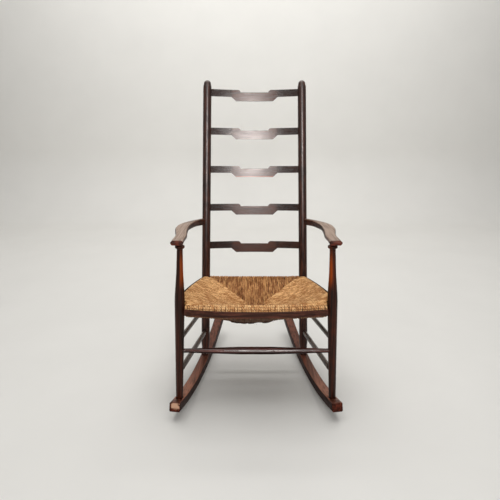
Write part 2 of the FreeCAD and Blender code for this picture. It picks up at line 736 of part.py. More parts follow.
for word, side in SIDES:
    name = word + "_arm"
    sections = []
    for letter in ARM_REACH:
        share = arm_share(letter)
        thick = "(arm_front_thick + (arm_back_thick - arm_front_thick) * %s)" % share
        section = eased_section("%s_section_%s" % (name, letter), "arm_width_" + letter, thick, "arm_corner", 1)
        section.Placement = place(vector(0, 0, 0), FreeCAD.Rotation(vector(1, 0, 0), 90))
        bind(section, "Placement.Base.x", "%d * %s" % (side, arm_middle(letter)))
        bind(section, "Placement.Base.y", ARM_REACH[letter])
        bind(section, "Placement.Base.z", "0 - arm_drop * %s" % share)
        sections.append(section)
    shaped = doc.addObject("Part::Loft", name + "_shaped")
    shaped.Sections = sections
    shaped.Solid = True
    shaped.Ruled = False
    base = vector(0, 0, reckon("arm_height"))
    back_low = back_point(side, ARM_BACK + " - 4 * arm_back_thick") - base
    back_high = back_point(side, ARM_BACK + " + 4 * arm_back_thick") - base
    lean = FreeCAD.Rotation(vector(0, 0, 1), back_high - back_low)
    post = rod(name + "_post", "back_post_radius + joint_gap", "8 * arm_back_thick", place(back_low, lean))
    low = front_point(side, "arm_height - arm_front_thick") - base
    high = front_point(side, "arm_height + arm_front_thick") - base
    splay = FreeCAD.Rotation(vector(0, 0, 1), high - low)
    neck_length = "arm_front_thick / 2 + arm_bore_depth + joint_gap"
    neck = rod(name + "_neck_bore", "front_neck_radius + joint_gap", neck_length, place(low, splay))
    coped = cut(name + "_coped", shaped, joined(name + "_tools", [post, neck]))
    centre = back_point(side, ARM_BACK) - base
    before = arm_spot(side, LAST_LETTER)
    before.z = centre.z
    turn = FreeCAD.Rotation(vector(0, 0, 1), before - centre)
    start = centre + turn.multVec(vector(0, 0, reckon("tenon_inset")))
    tenon_length = "back_post_radius + arm_back_thick"
    tenon = rod(name + "_tenon", "arm_tenon_radius", tenon_length, place(start, turn))
    finished(joined(name, [coped, tenon]), name, place(base))

# Rockers: an arc of constant thickness, bored from above for the feet of the posts

for word, side in SIDES:
    name = word + "_rocker"
    front = front_point(side, FRONT_FOOT)
    back = back_point(side, BACK_FOOT)
    taper = math.degrees(math.atan2(side * (front.x - back.x), back.y))
    stretch = 1 / math.cos(math.radians(taper))
    body = doc.addObject("PartDesign::Body", name + "_body")
    sketch = body_sketch(body, name + "_curve", "XZ_Plane")
    nose = "(rocker_low + rocker_nose) * %.6f" % stretch
    tail = "(rocker_tail - rocker_low) * %.6f" % stretch
    inner = "(rocker_radius - rocker_thickness)"

    def end_height(reach, radius):
        return "(rocker_radius - sqrt(%s^2 - (%s)^2))" % (radius, reach)

    share = "%s / rocker_radius" % inner
    outline(sketch, [
        (nose, -1, end_height(nose, "rocker_radius"), 1, ("rocker_radius", -1)),
        (tail, 1, end_height(tail, "rocker_radius"), 1, None),
        (tail + " * " + share, 1, end_height(tail + " * " + share, inner), 1, (inner, 1)),
        (nose + " * " + share, -1, end_height(nose + " * " + share, inner), 1, None),
    ])
    pad = body.newObject("PartDesign::Pad", name + "_pad")
    pad.Profile = sketch
    pad.SideType = "Symmetric"
    bind(pad, "Length", "rocker_width")
    doc.recompute()
    soft = body.newObject("PartDesign::Chamfer", name + "_edges")
    soft.Base = (pad, ["Edge%d" % (number + 1) for number in range(len(pad.Shape.Edges))])
    bind(soft, "Size", "rocker_edge")
    run = (back - front)
    run.z = 0
    start = front + run.normalize() * (reckon("rocker_low") * stretch)
    start.z = 0
    turn = FreeCAD.Rotation(vector(0, 0, 1), 90 + side * taper)
    frame = place(start, turn)
    tools = []
    for label, low, high, radius in (
            ("front", front, front_point(side, "arm_height"), "front_foot_radius"),
            ("back", back, back_point(side, "post_top_height"), "back_foot_radius")):
        upward = FreeCAD.Rotation(vector(0, 0, 1), high - low)
        spot = frame.inverse().multiply(place(low - vector(0, 0, reckon("joint_gap")), upward))
        tools.append(rod("%s_%s_socket" % (name, label), radius + " + joint_gap", "3 * socket_depth", spot))
    finished(cut(name, body, joined(name + "_sockets", tools)), name, frame)

doc.recompute()


# Rush seat: a slab rolled over the four rails, with a higher roll along each side rail, hollowed by a
# dish above and let down by a bulge below

CROWN = "(rail_height / 2 + rush_top)"
RUSH_CORNER = "(rail_corner + rush_side / 2)"
FRONT_EDGE_X = "(front_half - rail_inset + %s)" % RUSH_OUT
FRONT_EDGE = "(sqrt((%s + %s)^2 - %s^2) - %s)" % (BOW, RUSH_OUT, FRONT_EDGE_X, BOW_MIDDLE)
BACK_EDGE = "(seat_depth - rail_inset + %s)" % RUSH_OUT


def side_edge(reach):
    """Formula of the distance of the seat's side edge from the middle plane."""
    return "(%s + (back_half - front_half) * (%s) / seat_depth)" % (FRONT_EDGE_X, reach)


def on_slope(reach):
    """Formula of a distance behind the front posts, measured along the seat's slope."""
    return "((%s) / cos(%s))" % (reach, SLOPE)


tilt = place(vector(0, 0, 0), FreeCAD.Rotation(vector(1, 0, 0), -reckon(SLOPE)))
slab = doc.addObject("PartDesign::Body", "rush_slab")
slab_sketch = body_sketch(slab, "rush_outline", "XY_Plane")
front_corner = side_edge("0 - " + FRONT_EDGE)
outline(slab_sketch, [
    (front_corner, -1, on_slope(FRONT_EDGE), -1, ("(%s + %s)" % (BOW, RUSH_OUT), -1)),
    (front_corner, 1, on_slope(FRONT_EDGE), -1, None),
    (side_edge(BACK_EDGE), 1, on_slope(BACK_EDGE), 1, None),
    (side_edge(BACK_EDGE), -1, on_slope(BACK_EDGE), 1, None),
])
slab_pad = slab.newObject("PartDesign::Pad", "rush_pad")
slab_pad.Profile = slab_sketch
slab_pad.SideType = "Symmetric"
bind(slab_pad, "Length", "2 * " + CROWN)
doc.recompute()
rolled = []
for number, edge in enumerate(slab_pad.Shape.Edges, start=1):
    if edge.BoundBox.ZLength < reckon("joint_gap"):
        rolled.append("Edge%d" % number)
rolls = slab.newObject("PartDesign::Chamfer", "rush_rolls")
rolls.Base = (slab_pad, rolled)
bind(rolls, "Size", RUSH_CORNER)
slab.Placement = tilt


def vault(name, level, fall, inset):
    """The space common to a wide cylinder lying across the seat and one lying along it. Its underside
    falls away from a level inwards of the rails' middles, in four panels that meet along the diagonals."""
    front_line = on_slope("rail_inset - seat_bow / 2 + " + inset)
    back_line = on_slope("seat_depth - rail_inset - " + inset)
    half_along = "((%s - %s) / 2)" % (back_line, front_line)
    half_across = "(back_half - rail_inset - %s)" % inset
    middle = (reckon(back_line) + reckon(front_line)) / 2
    lying = (
        ("across", half_along, FreeCAD.Rotation(vector(0, 1, 0), 90), (-1, 0)),
        ("along", half_across, FreeCAD.Rotation(vector(1, 0, 0), -90), (0, -1)),
    )
    length = "4 * front_half"
    cylinders = []
    for word, half, turn, (x_way, y_way) in lying:
        radius = "(((%s)^2 + (%s)^2) / (2 * (%s)))" % (half, fall, fall)
        spot = vector(
            x_way * reckon(length) / 2, middle + y_way * reckon(length) / 2,
            reckon("%s - %s + %s" % (level, fall, radius)))
        cylinders.append(rod("%s_%s" % (name, word), radius, length, tilt.multiply(place(spot, turn))))
    thing = doc.addObject("Part::Common", name)
    thing.Base, thing.Tool = cylinders
    return thing


dish = vault("rush_dish", CROWN, "seat_sag", "rail_width / 4")
bulge = vault("rush_bulge", "joint_gap - " + CROWN, "seat_droop", "rail_width / 2")
below = block(
    "rush_below", ("4 * front_half", "2 * seat_depth", "4 * seat_droop"),
    tilt.multiply(place(vector(
        -reckon("2 * front_half"), -reckon("seat_depth / 2"),
        reckon("shoulder_gap - %s - 4 * seat_droop" % CROWN)))))
bulge_low = doc.addObject("Part::Common", "rush_bulge_low")
bulge_low.Base = bulge
bulge_low.Tool = below
lift = vector(0, 0, -reckon("seat_height"))
side_rolls = []
for word, side in SIDES:
    section = eased_section(
        "rush_%s_roll_section" % word, "rail_width + rush_side", "2 * " + CROWN, RUSH_CORNER, 2)
    roll = run_between(
        "rush_%s_roll" % word, section, SIDE_LENGTH, "rail_inset", "0", ("0", "0"), "side_bow")
    roll.Placement = place(lift).multiply(RAILS[word + "_seat_rail"][0])
    side_rolls.append(roll)
rush_form = cut("rush_form", joined("rush_whole", [slab, bulge_low] + side_rolls), dish)
rush_tools = []
for label, (frame, rail, strip) in RAILS.items():
    shape = rail.Shape.copy()
    shape.translate(lift)
    rush_tools.append(shape)
for word, side in SIDES:
    for low, high, radius in (
            (front_point(side, "seat_height - 4 * rail_height"),
             front_point(side, "seat_height + 4 * rail_height"), "front_swell_radius"),
            (back_point(side, BACK_SEAT + " - 4 * rail_height"),
             back_point(side, BACK_SEAT + " + 4 * rail_height"), "back_post_radius")):
        size = reckon(radius + " + shoulder_gap + joint_gap")
        rush_tools.append(Part.makeCylinder(size, (high - low).Length, low + lift, high - low))
rush_tool_object = doc.addObject("Part::Feature", "rush_tools")
rush_tool_object.Shape = rush_tools[0].multiFuse(rush_tools[1:])
rush = cut("rush_seat", rush_form, rush_tool_object)
finished(rush, "rush_seat", place(vector(0, 0, reckon("seat_height"))))
doc.recompute()


def check_all():
    """Stops if an object failed or a finished piece has no sound shape."""
    faults = [thing.Name for thing in doc.Objects if "Invalid" in thing.State or "Error" in thing.State]
    for piece in PIECES:
        if piece.Shape.isNull() or not piece.Shape.Solids or not piece.Shape.isValid():
            faults.append(piece.Label)
    if faults:
        raise RuntimeError("not sound: " + ", ".join(faults))


check_all()

# The whole chair is moved so that its origin is the bottom centre
box = FreeCAD.BoundBox()
for piece in PIECES:
    box.add(piece.Shape.optimalBoundingBox(False, False))
shift = vector(-box.Center.x, -box.Center.y, -box.ZMin)
for piece in PIECES:
    piece.Placement = place(shift).multiply(piece.Placement)
doc.recompute()

check_all()

os.makedirs("parts", exist_ok=True)
for piece in PIECES:
    piece.Shape.exportStep("parts/%s.step" % piece.Label)
print("pieces %d, box %s" % (len(PIECES), box))
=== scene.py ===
import math
import bpy
import numpy as np
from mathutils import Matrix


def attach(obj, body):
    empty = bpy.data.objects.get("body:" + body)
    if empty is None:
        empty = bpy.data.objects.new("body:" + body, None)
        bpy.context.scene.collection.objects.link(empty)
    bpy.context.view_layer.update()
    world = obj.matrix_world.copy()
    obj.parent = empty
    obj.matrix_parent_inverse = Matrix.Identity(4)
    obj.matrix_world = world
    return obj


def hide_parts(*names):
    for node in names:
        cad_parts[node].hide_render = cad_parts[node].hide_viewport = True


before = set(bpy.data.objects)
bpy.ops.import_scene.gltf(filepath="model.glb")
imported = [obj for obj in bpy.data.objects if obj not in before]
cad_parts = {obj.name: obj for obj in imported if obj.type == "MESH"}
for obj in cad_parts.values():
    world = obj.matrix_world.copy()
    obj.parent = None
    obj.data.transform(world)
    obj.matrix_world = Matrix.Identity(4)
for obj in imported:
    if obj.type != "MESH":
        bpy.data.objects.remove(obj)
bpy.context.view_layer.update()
rng = np.random.default_rng(7)

MILLIMETRE = 0.001

# Measures of the seat in millimetres, with u counted backwards from the line of the front posts
FRONT_POST_Y = -291.86
SEAT_DEPTH = 386.0
# A side rail's distance from the middle in front, what it loses towards the back, and its outward bow
FRONT_AXIS = 246.0
AXIS_FALL = 52.4
SIDE_BOW = 9.0
# The back rail's place, and the centre and radius of the front rail's arc
BACK_LINE = 382.0
BOW_MIDDLE = 1106.07
BOW_RADIUS = 1130.07
# Height of the rails' plane at the front posts, and its drop towards the back
SEAT_HEIGHT = 365.0
SEAT_DROP = 31.0
# Rise of the side rolls over that plane, in front and at the back
SIDE_RISE = 18.0
SIDE_BACK_RISE = 2.0
# Crown of the rolls, its height at the front corners, and what the front gains in its middle
CROWN = 24.0
FRONT_CROWN = 21.0
FRONT_SWELL = 5.0
# How far a roll reaches out from its rail's middle line
ROLL = 14.0
# Powers that keep the front roll's crown, the side rolls' rise and the side rolls' front ends near the edge
FRONT_POWER = 6
SIDE_POWER = 4
SIDE_END_POWER = 14
# How far back the rows of the sides follow the bow of the front rail
FOLLOW_REACH = 200.0
# Sag of the upper skin: its depth and power
SAG = 69.5
SAG_POWER = 1.5
# Droop of the lower skin: its depth and power, how it gathers in the middle, and its deepest line
DROOP = 66.0
DROOP_POWER = 2.0
DROOP_FOCUS = 1.25
DROOP_MIDDLE = -26.0
# Seams: half the width of the middle panel, the seams' starts, where they meet that panel, and their bend
APEX = 31.4
FRONT_SEAM = 250.0
BACK_SEAM = 187.2
APEX_REACH = 218.6
SEAM_BEND = 4.0
# How far strands run on past a seam, how ragged that is, and how they dive there
SEAM_LAP = 5.0
FRONT_LAP = 3.0
APEX_LAP = 6.0
SEAM_RAG = 2.0
DIVE = 6.0
DIVE_REACH = 14.0
# First and last row of the sides, the room kept round the front posts, and the spacing of strands
FIRST_ROW = 2.0
LAST_ROW = 368.0
POST_CLEAR = 17.5
SIDE_PITCH = 5.4
END_PITCH = 7.4
# Half the width that strands take on the front rail and on the back rail
FRONT_WIDTH = 231.0
BACK_WIDTH = 181.0
# Radius of a strand as a share of the spacing, and its random spread
SIDE_FULLNESS = 0.60
END_FULLNESS = 0.50
MIDDLE_FULLNESS = 0.53
RADIUS_SPREAD = (0.92, 1.10)
# Strands of the middle, and where their front and back halves meet
MIDDLE_STRANDS = 8
MEETING = 190.0
# Section of a strand: width, height, depth of its two lobes, and the length in which their pattern repeats
STRAND_WIDE = 1.04
STRAND_HIGH = 0.92
LOBE_DEPTH = 0.07
LOBE_LENGTH = 34.0
# Steps of a strand along the upper skin, round the roll and along the lower skin, and around its section
TOP_STATIONS = 22
ROLL_STATIONS = 11
LOW_STATIONS = 12
STATIONS = TOP_STATIONS + ROLL_STATIONS + LOW_STATIONS
SIDES = 9
# How far each station of a strand lies under the seat, from 0 to 1
UNDER = np.concatenate([
    np.zeros(TOP_STATIONS), np.clip(np.linspace(-1.0, 1.0, ROLL_STATIONS), 0.0, 1.0), np.ones(LOW_STATIONS)])
# Steps of the stuffing along and around it, and its distance inside the skins
STUFFING_STATIONS = 41
STUFFING_SIDES = 72
STUFFING_INSET = 8.0
# How far the roots of hanging strands stand inside the lower skin
ROOT_INSET = 4.0


# Meshes

def grid_quads(tubes, stations, sides):
    """Corner numbers of the quads of several tubes, each a grid of stations by sides that closes around."""
    tube, station, side = np.meshgrid(
        np.arange(tubes), np.arange(stations - 1), np.arange(sides), indexing="ij")
    start = (tube * stations + station) * sides
    after = (side + 1) % sides
    quads = np.stack([start + side, start + after, start + sides + after, start + sides + side], axis=-1)
    return quads.reshape(-1, 4)


def tube_piece(name, rings, tone, lengths, under, material):
    """A piece of several closed tubes. rings holds points by tube, station and side, in millimetres; the
    ends are closed by flat caps. The UV map is the length in metres along the tube and the turn around it.
    Each point carries its tube's tone and, by station, how far it lies under the seat."""
    tubes, stations, sides = rings.shape[:3]
    points = rings.reshape(-1, 3) * MILLIMETRE
    quads = grid_quads(tubes, stations, sides)
    first = np.arange(tubes)[:, None] * stations * sides + np.arange(sides)[None, ::-1]
    last = (np.arange(tubes)[:, None] * stations + stations - 1) * sides + np.arange(sides)[None, :]
    faces = quads.tolist() + first.tolist() + last.tolist()
    mesh = bpy.data.meshes.new(name)
    mesh.from_pydata(points, [], faces)
    around = np.broadcast_to(np.arange(sides), (tubes, stations - 1, sides)) / sides
    step = 1.0 / sides
    near = np.broadcast_to(lengths[:, :-1, None], around.shape) * MILLIMETRE
    far = np.broadcast_to(lengths[:, 1:, None], around.shape) * MILLIMETRE
    corners = np.stack([
        np.stack([near, around], -1), np.stack([near, around + step], -1),
        np.stack([far, around + step], -1), np.stack([far, around], -1)], axis=-2)
    caps = np.zeros((2 * tubes * sides, 2))
    layer = mesh.uv_layers.new(name="along")
    layer.uv.foreach_set("vector", np.concatenate([corners.reshape(-1, 2), caps]).astype(np.float32).ravel())
    shares = {
        "tone": np.repeat(tone, stations * sides),
        "under": np.tile(np.repeat(under, sides), tubes),
    }
    for word, values in shares.items():
        layer = mesh.attributes.new(word, "FLOAT", "POINT")
        layer.data.foreach_set("value", values.astype(np.float32))
    return shown_piece(name, mesh, material)


def shown_piece(name, mesh, material):
    """Puts a mesh into the scene as a smooth-shaded piece that rides on the chair."""
    mesh.validate()
    mesh.update()
    mesh.shade_smooth()
    piece = bpy.data.objects.new(name, mesh)
    bpy.context.scene.collection.objects.link(piece)
    piece.data.materials.append(material)
    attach(piece, "root")
    return piece


# Steps that materials are made of

def linear(red, green, blue):
    """A colour given as 0 to 255 screen values, turned into the linear values that shaders use."""
    values = []
    for value in (red, green, blue):
        share = value / 255.0
        values.append(share / 12.92 if share <= 0.04045 else ((share + 0.055) / 1.055) ** 2.4)
    return (*values, 1.0)


def node(tree, kind, settings=None, **inputs):
    """Adds a shader node, sets its properties and inputs, and links inputs that are sockets. An input is
    named by its label, or by the letter n and its number."""
    made = tree.nodes.new(kind)
    for key, value in (settings or {}).items():
        setattr(made, key, value)
    for key, value in inputs.items():
        place = int(key[1:]) if key[0] == "n" and key[1:].isdigit() else key.replace("_", " ")
        if isinstance(value, bpy.types.NodeSocket):
            tree.links.new(value, made.inputs[place])
        else:
            made.inputs[place].default_value = value
    return made


def new_material(name):
    """An empty material with a Principled shader, and its node tree."""
    material = bpy.data.materials.new(name)
    material.use_nodes = True
    tree = material.node_tree
    tree.nodes.clear()
    shader = tree.nodes.new("ShaderNodeBsdfPrincipled")
    out = tree.nodes.new("ShaderNodeOutputMaterial")
    tree.links.new(shader.outputs["BSDF"], out.inputs["Surface"])
    return material, tree, shader


def object_place(tree):
    """The place of a point in the object's own coordinates."""
    return node(tree, "ShaderNodeTexCoord").outputs["Object"]


def sums(tree, kind, first, second):
    """One arithmetic step on two numbers or sockets, kept within 0 and 1."""
    made = node(tree, "ShaderNodeMath", {"operation": kind, "use_clamp": True}, n0=first, n1=second)
    return made.outputs[0]


def reckoned(tree, kind, first, second):
    """One arithmetic step on two numbers or sockets, without limits."""
    return node(tree, "ShaderNodeMath", {"operation": kind}, n0=first, n1=second).outputs[0]


def product(tree, *shares):
    """Several shares multiplied."""
    whole = shares[0]
    for share in shares[1:]:
        whole = sums(tree, "MULTIPLY", whole, share)
    return whole


def ramp(tree, value, low, high, start=0.0, end=1.0):
    """A smooth step from start to end as a value goes from low to high."""
    made = node(
        tree, "ShaderNodeMapRange", {"interpolation_type": "SMOOTHSTEP"}, Value=value,
        From_Min=low, From_Max=high, To_Min=start, To_Max=end)
    return made.outputs[0]


def noise(tree, place, scale, detail=3.0, roughness=0.55, stretch=(1.0, 1.0, 1.0)):
    """Noise over a place, stretched by a scale on each axis."""
    spread = node(tree, "ShaderNodeMapping", None, Vector=place, Scale=stretch)
    made = node(
        tree, "ShaderNodeTexNoise", None, Vector=spread.outputs[0], Scale=scale, Detail=detail,
        Roughness=roughness)
    return made.outputs[0]


def mixed(tree, share, first, second):
    """A colour between two, by a share from 0 to 1."""
    made = node(tree, "ShaderNodeMix", {"data_type": "RGBA"}, n0=share, n6=first, n7=second)
    return made.outputs[2]


def part_of(tree, place, axis):
    """One coordinate of a place."""
    return node(tree, "ShaderNodeSeparateXYZ", None, Vector=place).outputs["XYZ".index(axis.upper())]


def facing(tree, axis):
    """How far a face looks along an axis."""
    normal = node(tree, "ShaderNodeNewGeometry").outputs["Normal"]
    return part_of(tree, normal, axis)


def near_spot(tree, place, spot, reach):
    """One around a spot, falling to nothing at a reach from it, in metres."""
    away = node(tree, "ShaderNodeVectorMath", {"operation": "DISTANCE"}, n0=place, n1=spot).outputs["Value"]
    return ramp(tree, away, 0.55 * reach, reach, 1.0, 0.0)


def away_from(tree, place, axis, middle):
    """How far a place lies from a middle along one axis."""
    offset = reckoned(tree, "SUBTRACT", part_of(tree, place, axis), middle)
    return reckoned(tree, "ABSOLUTE", offset, 0.0)


# Wood

GRAIN_STRETCH = 0.028
ALONG = {
    "x": (GRAIN_STRETCH, 1.0, 1.0),
    "y": (1.0, GRAIN_STRETCH, 1.0),
    "z": (1.0, 1.0, GRAIN_STRETCH),
}
WAX = (1.0, 0.82, 0.72, 1.0)
CLEAR_WAX = (1.0, 0.93, 0.90, 1.0)


def stained_wood(name, grain, deep, warm, rubbed, wear, roughness, shine, wear_mask=None, marks=(),
                 wax=WAX, dented=0.30):
    """Waxed, stained wood: long streaks between a deep and a warm tone along the grain, fine open pores,
    clouds of wear and small scuffs in a rubbed tone, and a place mask for wear where hands, backs and feet
    meet the piece, which on the arms' tops also paints sheen. shine is the strength of the sheen, or a place
    mask for it. marks holds further place masks, each with the tone it shows; wax tints the sheen and dented
    sets how uneven the surface is."""
    material, tree, shader = new_material(name)
    place = object_place(tree)
    stretch = ALONG[grain]
    streaks = noise(tree, place, scale=170.0, detail=5.0, roughness=0.62, stretch=stretch)
    pores = noise(tree, place, scale=820.0, detail=2.0, roughness=0.5, stretch=stretch)
    clouds = noise(tree, place, scale=13.0, detail=4.0, roughness=0.6)
    scuffs = noise(tree, place, scale=210.0, detail=3.0, roughness=0.7)
    tone = mixed(tree, ramp(tree, streaks, 0.40, 0.66), deep, warm)
    tone = mixed(tree, ramp(tree, pores, 0.30, 0.46, 0.7, 0.0), tone, deep)
    worn = ramp(tree, clouds, 0.52, 0.74, 0.0, wear)
    if wear_mask:
        broken = ramp(tree, streaks, 0.28, 0.58, 0.30, 1.0)
        worn = sums(tree, "MAXIMUM", worn, product(tree, wear_mask(tree, place), broken))
    tone = mixed(tree, worn, tone, rubbed)
    specks = ramp(tree, scuffs, 0.67, 0.75, 0.0, 0.4)
    tone = mixed(tree, specks, tone, rubbed)
    for mark, mark_tone in marks:
        tone = mixed(tree, mark(tree, place), tone, mark_tone)
    tree.links.new(tone, shader.inputs["Base Color"])
    shader.inputs["Specular Tint"].default_value = wax
    uneven = ramp(tree, streaks, 0.3, 0.7, roughness + 0.08, roughness - 0.05)
    tree.links.new(uneven, shader.inputs["Roughness"])
    relief = node(tree, "ShaderNodeBump", None, Strength=0.35, Distance=0.0006, Height=pores)
    dents = node(
        tree, "ShaderNodeBump", None, Strength=dented, Distance=0.0016, Height=clouds,
        Normal=relief.outputs[0])
    tree.links.new(dents.outputs[0], shader.inputs["Normal"])
    if callable(shine):
        tree.links.new(shine(tree, place), shader.inputs["Specular IOR Level"])
    else:
        shader.inputs["Specular IOR Level"].default_value = shine
    return material


# Places where the wood is worn, polished or marked, in metres

NOSE_X = -0.2645
NOSE_Z = 0.0606
NOSE_HALF_WIDTH = 0.0130
NOSE_HALF_HEIGHT = 0.0102
CHIP = (0.238, -0.352, 0.040)
CHIP_REACH = 0.006


def polished(tree, place):
    """Hands and dusters have polished the back more and more towards its top."""
    return ramp(tree, part_of(tree, place, "z"), 0.35, 0.95, 0.16, 0.85)


def front_post_wear(tree, place):
    """Hands have rubbed the inner halves of the front posts between the seat and the arms."""
    height = part_of(tree, place, "z")
    turned_in = reckoned(tree, "MULTIPLY", part_of(tree, place, "x"), facing(tree, "x"))
    inner = ramp(tree, turned_in, 0.05, -0.12, 0.08, 1.0)
    over_seat = ramp(tree, height, 0.43, 0.49)
    under_arm = ramp(tree, height, 0.572, 0.515, 0.15, 1.0)
    return product(tree, inner, over_seat, under_arm)


def arm_wear_and_sheen(tree, place):
    """Forearms have rubbed the tops of the arms, most of all in front; the pale tone on their upward faces
    is also painted sheen of the light from above.
    """
    upper = ramp(tree, facing(tree, "z"), 0.45, 0.9)
    forward = ramp(tree, part_of(tree, place, "y"), 0.10, -0.02, 0.35, 0.9)
    return product(tree, upper, forward)


def arm_end(tree, place):
    """The front end of an arm, rounded and handled, keeps a redder stain."""
    forward = ramp(tree, facing(tree, "y"), -0.2, -0.7)
    tip = ramp(tree, part_of(tree, place, "y"), -0.295, -0.308, 0.0, 0.85)
    return product(tree, forward, tip)


def grimed_end(tree, place):
    """Dark patches where the stain and old grime have stayed on the front end of an arm."""
    cloudy = noise(tree, place, scale=75.0, detail=2.0, roughness=0.5)
    return product(tree, arm_end(tree, place), ramp(tree, cloudy, 0.45, 0.53, 0.0, 0.9))


def rocker_wear(tree, place):
    """Feet have rubbed the tops of the rockers in front, though less at the nose."""
    lengthways = part_of(tree, place, "y")
    upper = ramp(tree, facing(tree, "z"), 0.5, 0.95)
    forward = ramp(tree, lengthways, 0.05, -0.24, 0.16, 0.75)
    behind_nose = ramp(tree, lengthways, -0.315, -0.295, 0.15, 1.0)
    return product(tree, upper, forward, behind_nose)


def rocker_shine(tree, place):
    """The tops of the rockers are polished by feet; their sides are dull."""
    return ramp(tree, facing(tree, "z"), 0.3, 0.8, 0.04, 0.25)


def shaded_rocker_sides(tree, place):
    """Painted shade: the sides and undersides of the rockers are darkened as if in shadow, though not their
    noses.
    """
    not_upper = ramp(tree, facing(tree, "z"), 0.7, 0.2, 0.0, 0.8)
    not_nose = ramp(tree, facing(tree, "y"), -0.6, -0.3)
    return product(tree, not_upper, not_nose)


def bare_nose(tree, place):
    """The end grain of the left rocker's nose is knocked bare, and a chip is off the right one."""
    ends = ramp(tree, facing(tree, "y"), -0.5, -0.8)
    across = reckoned(tree, "DIVIDE", away_from(tree, place, "x", NOSE_X), NOSE_HALF_WIDTH)
    upward = reckoned(tree, "DIVIDE", away_from(tree, place, "z", NOSE_Z), NOSE_HALF_HEIGHT)
    ragged = ramp(tree, noise(tree, place, scale=90.0, detail=3.0, roughness=0.6), 0.3, 0.7, -0.35, 0.35)
    edge = reckoned(tree, "ADD", reckoned(tree, "MAXIMUM", across, upward), ragged)
    knocked = product(tree, ends, ramp(tree, edge, 0.60, 1.20, 0.95, 0.0))
    return sums(tree, "MAXIMUM", knocked, near_spot(tree, place, CHIP, CHIP_REACH))


def stretcher_shine(tree, place):
    """A stretcher is polished on top by feet and dull below."""
    return ramp(tree, facing(tree, "z"), -0.25, 0.1, 0.04, 0.8)


def painted_shade_underside(tree, place):
    """Painted shade: the underside of a stretcher is darkened as if in shadow."""
    return ramp(tree, facing(tree, "z"), 0.15, -0.2, 0.0, 0.9)


def slat_wear(tree, place):
    """Backs have rubbed the middles of the slats."""
    return ramp(tree, away_from(tree, place, "x", 0.0), 0.10, 0.08, 0.0, 0.38)


def rubbed_edge(tree, place):
    """The lower edge of the middle slat is rubbed bright where backs lean on it."""
    height = part_of(tree, place, "z")
    over_next_slat = ramp(tree, height, 0.740, 0.750)
    lower_edge = ramp(tree, height, 0.7600, 0.7565, 0.0, 0.8)
    middle = ramp(tree, away_from(tree, place, "x", 0.0), 0.095, 0.085)
    return product(tree, over_next_slat, lower_edge, middle)


post_wood = stained_wood(
    "post_wood", grain="z", deep=linear(32, 19, 15), warm=linear(78, 46, 36), rubbed=linear(104, 58, 42),
    wear=0.25, roughness=0.33, shine=polished, wax=CLEAR_WAX)
front_post_wood = stained_wood(
    "front_post_wood", grain="z", deep=linear(22, 11, 8), warm=linear(60, 26, 17),
    rubbed=linear(138, 58, 12), wear=0.10, roughness=0.36, shine=0.2, wear_mask=front_post_wear)
slat_wood = stained_wood(
    "slat_wood", grain="x", deep=linear(30, 20, 17), warm=linear(54, 36, 30), rubbed=linear(116, 74, 60),
    wear=0.20, roughness=0.24, shine=polished, wear_mask=slat_wear,
    marks=((rubbed_edge, linear(150, 74, 42)),), wax=CLEAR_WAX)
# The arms' rubbed tone on their upward faces is partly wear and partly painted sheen
arm_wood = stained_wood(
    "arm_wood", grain="y", deep=linear(34, 17, 12), warm=linear(80, 36, 22), rubbed=linear(168, 139, 119),
    wear=0.05, roughness=0.36, shine=0.3, wear_mask=arm_wear_and_sheen,
    marks=((arm_end, linear(94, 38, 25)), (grimed_end, linear(28, 16, 16))))
# The rockers' dark sides and undersides are painted shade
rocker_wood = stained_wood(
    "rocker_wood", grain="y", deep=linear(48, 22, 16), warm=linear(98, 46, 34), rubbed=linear(186, 114, 80),
    wear=0.05, roughness=0.40, shine=rocker_shine, wear_mask=rocker_wear,
    marks=((shaded_rocker_sides, linear(36, 19, 14)), (bare_nose, linear(190, 150, 124))))
# The stretchers' dark undersides are painted shade
cross_wood = stained_wood(
    "cross_wood", grain="x", deep=linear(42, 17, 12), warm=linear(92, 38, 26), rubbed=linear(112, 52, 36),
    wear=0.2, roughness=0.15, shine=stretcher_shine,
    marks=((painted_shade_underside, linear(22, 11, 9)),), wax=CLEAR_WAX, dented=0.05)
side_wood = stained_wood(
    "side_wood", grain="y", deep=linear(44, 32, 26), warm=linear(84, 64, 52), rubbed=linear(124, 96, 78),
    wear=0.3, roughness=0.26, shine=0.5)
strip_wood = stained_wood(
    "strip_wood", grain="x", deep=linear(42, 20, 14), warm=linear(86, 48, 38), rubbed=linear(112, 62, 46),
    wear=0.3, roughness=0.42, shine=0.2)
side_strip_wood = stained_wood(
    "side_strip_wood", grain="y", deep=linear(30, 17, 13), warm=linear(58, 32, 25),
    rubbed=linear(86, 50, 36), wear=0.3, roughness=0.42, shine=0.2)

# Each wood by a word in the names of the pieces that are made of it
FINISHES = {
    "front_post": front_post_wood,
    "back_post": post_wood,
    "slat": slat_wood,
    "arm": arm_wood,
    "rocker": rocker_wood,
    "front_stretcher": cross_wood,
    "back_stretcher": cross_wood,
    "upper_stretcher": side_wood,
    "lower_stretcher": side_wood,
    "front_edge_strip": strip_wood,
    "back_edge_strip": strip_wood,
    "left_edge_strip": side_strip_wood,
    "right_edge_strip": side_strip_wood,
    "front_seat_rail": strip_wood,
    "back_seat_rail": strip_wood,
    "left_seat_rail": side_strip_wood,
    "right_seat_rail": side_strip_wood,
}
